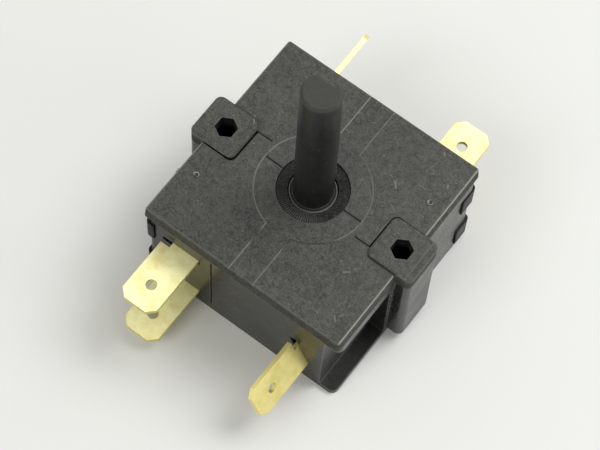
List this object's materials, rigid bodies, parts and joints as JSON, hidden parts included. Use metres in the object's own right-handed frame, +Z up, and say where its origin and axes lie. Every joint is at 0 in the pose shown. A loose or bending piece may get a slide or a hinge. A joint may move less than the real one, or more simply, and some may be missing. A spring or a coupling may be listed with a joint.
{
  "type": "changeover switch",
  "caption": "Rotary changeover switch with a flatted spindle, square two-part black case, fixing ears and brass push-on tabs on opposite sides.",
  "frame": {"origin": "middle of the base, on the spindle axis", "axes": "+Z up along the spindle, X through the two fixing ears, Y out through the terminals"},
  "size_m": [0.04, 0.0556, 0.053],
  "materials": {
    "case_moulding": "fine matt moulded",
    "lug_moulding": "smooth moulded",
    "rotor_moulding": "moulded",
    "shaft_moulding": "semi-gloss moulded",
    "tab_brass": "bright rolled",
    "rivet_brass": "bright",
    "spring_bronze": "bright rolled",
    "contact_silver": "satin silver",
    "spring_steel": "rolled"
  },
  "bodies": {
    "case": {"housing_front": "case_moulding", "housing_rear": "case_moulding", "corner_lugs_front": "lug_moulding", "corner_lugs_rear": "lug_moulding", "upper_terminal_front": "tab_brass", "lower_terminal_front": "tab_brass", "flat_terminal_rear": "tab_brass", "common_terminal_front": "tab_brass", "common_terminal_rear": "tab_brass", "upper_blade_front": "spring_bronze", "upper_blade_rear": "spring_bronze", "lower_blade_front": "spring_bronze", "upper_blade_rivet_front": "rivet_brass", "upper_blade_rivet_rear": "rivet_brass", "lower_blade_rivet_front": "rivet_brass", "upper_moving_contact_front": "contact_silver", "upper_moving_contact_rear": "contact_silver", "lower_moving_contact_front": "contact_silver", "upper_fixed_contact_front": "contact_silver", "upper_fixed_contact_rear": "contact_silver", "lower_fixed_contact_front": "contact_silver", "detent_strip_front": "spring_steel", "detent_strip_rear": "spring_steel"},
    "spindle": {"rotor": "rotor_moulding", "shaft": "shaft_moulding"}
  },
  "joints": [
    {"name": "spindle_turn", "type": "hinge", "parent": "case", "child": "spindle", "pos_m": [0, 0, 0], "axis": [0, 0, 1], "range_deg": [-60, 60], "deforming": ["upper_blade_front", "upper_blade_rear", "lower_blade_front", "detent_strip_front", "detent_strip_rear"]}
  ]
}
